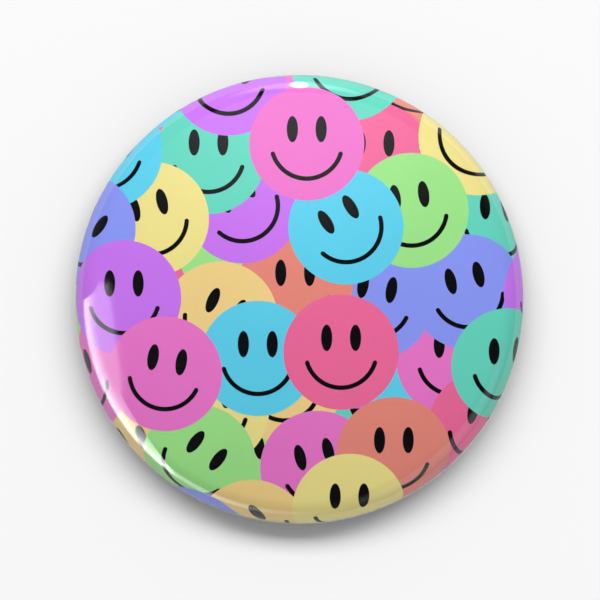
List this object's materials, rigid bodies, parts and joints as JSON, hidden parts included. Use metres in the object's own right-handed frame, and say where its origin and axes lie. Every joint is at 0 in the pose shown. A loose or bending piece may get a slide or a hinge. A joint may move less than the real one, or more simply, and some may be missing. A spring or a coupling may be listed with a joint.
{
  "type": "button badge",
  "caption": "Round domed button badge with a printed face under clear film and a riveted safety pin bar on its back.",
  "frame": {"origin": "centre of the back plate's resting ring, on the surface that the badge lies on", "axes": "+Z out of the printed face, +Y to the top of the worn badge, +X along the brooch bar from hinge to catch"},
  "size_m": [0.058, 0.058, 0.0076],
  "materials": {
    "printed_paper": "colour-printed paper disc, matte under the film",
    "clear_film": "thin clear polyester film, glossy",
    "tinplate": "bright rolled tinplate with fine rolling marks",
    "nickel": "bright nickel plating on stamped steel",
    "spring_steel": "drawn steel wire, nickel plated"
  },
  "bodies": {
    "badge": {"front_shell": "tinplate", "printed_paper": "printed_paper", "clear_film": "clear_film", "back_plate": "tinplate", "brooch_bar": "nickel", "bar_rivets": "nickel", "hinge_rivet": "nickel"},
    "pin": {"pin_stem": "spring_steel"},
    "catch": {"safety_catch": "nickel"}
  },
  "joints": [
    {"name": "pin_swing", "type": "hinge", "parent": "badge", "child": "pin", "pos_m": [-0.014, 0.005, 0.00165], "axis": [0, 1, 0], "range_deg": [0, 100]},
    {"name": "catch_turn", "type": "hinge", "parent": "badge", "child": "catch", "pos_m": [0.01355, 0.005, 0.00165], "axis": [1, 0, 0], "range_deg": [0, 90]}
  ]
}
